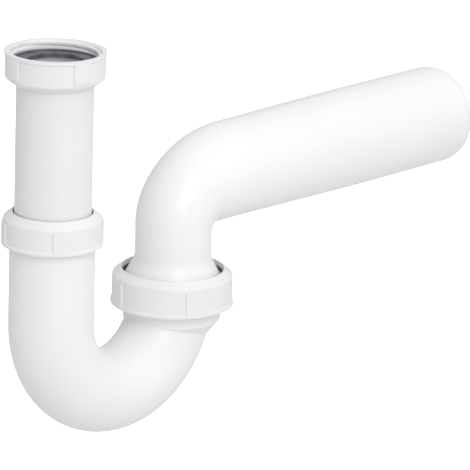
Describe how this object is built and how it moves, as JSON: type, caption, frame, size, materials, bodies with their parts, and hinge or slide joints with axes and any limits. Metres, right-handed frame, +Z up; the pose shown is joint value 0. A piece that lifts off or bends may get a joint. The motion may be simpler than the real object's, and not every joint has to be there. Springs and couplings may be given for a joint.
{
  "type": "appliance tube trap",
  "caption": "White plastic tube trap: threaded union inlet, sliding inlet tube, U-bend water seal and swivelling outlet bend with a larger level pipe.",
  "frame": {"origin": "on the inlet axis at the inner end of the union nut's thread, 0.3 mm above the gasket's sealing face", "axes": "+Z up along the inlet axis, out of the union nut's mouth; +X from the inlet axis towards the outlet pipe's open end"},
  "size_m": [0.3429, 0.0678, 0.2206],
  "materials": {
    "nut_plastic": "glossy white polypropylene",
    "gasket_rubber": "dark grey rubber",
    "tube_plastic": "glossy white polypropylene",
    "slip_plastic": "matt black polyethylene",
    "seal_rubber": "dark grey rubber",
    "bend_plastic": "glossy white polypropylene",
    "outlet_plastic": "glossy white polypropylene"
  },
  "bodies": {
    "inlet": {"inlet_tube": "tube_plastic", "top_gasket": "gasket_rubber"},
    "union_nut": {"top_union_nut": "nut_plastic"},
    "clamp_seal": {"inlet_slip_ring": "slip_plastic", "inlet_cone_seal": "seal_rubber"},
    "trap_bend": {"u_bend": "bend_plastic", "outlet_gasket": "gasket_rubber"},
    "clamp_nut": {"inlet_clamp_nut": "nut_plastic"},
    "pipe_nut": {"outlet_nut": "nut_plastic"},
    "pipe_bend": {"outlet_bend": "outlet_plastic", "outlet_slip_ring": "slip_plastic"}
  },
  "joints": [
    {"name": "union_nut_turn", "type": "hinge", "parent": "inlet", "child": "union_nut", "pos_m": [0, 0, -0.004], "axis": [0, 0, 1], "continuous": true},
    {"name": "height_slide", "type": "slide", "parent": "inlet", "child": "clamp_seal", "axis": [0, 0, 1], "range_m": [-0.024, 0.012]},
    {"name": "inlet_swivel", "type": "hinge", "parent": "clamp_seal", "child": "trap_bend", "pos_m": [0, 0, -0.0896], "axis": [0, 0, 1], "continuous": true},
    {"name": "clamp_nut_turn", "type": "hinge", "parent": "trap_bend", "child": "clamp_nut", "pos_m": [0, 0, -0.0913], "axis": [0, 0, 1], "continuous": true},
    {"name": "outlet_nut_turn", "type": "hinge", "parent": "trap_bend", "child": "pipe_nut", "pos_m": [0.0945, 0, -0.1434], "axis": [0, 0, 1], "continuous": true},
    {"name": "outlet_swivel", "type": "hinge", "parent": "trap_bend", "child": "pipe_bend", "pos_m": [0.0945, 0, -0.1397], "axis": [0, 0, 1], "range_deg": [-135, 135]}
  ]
}
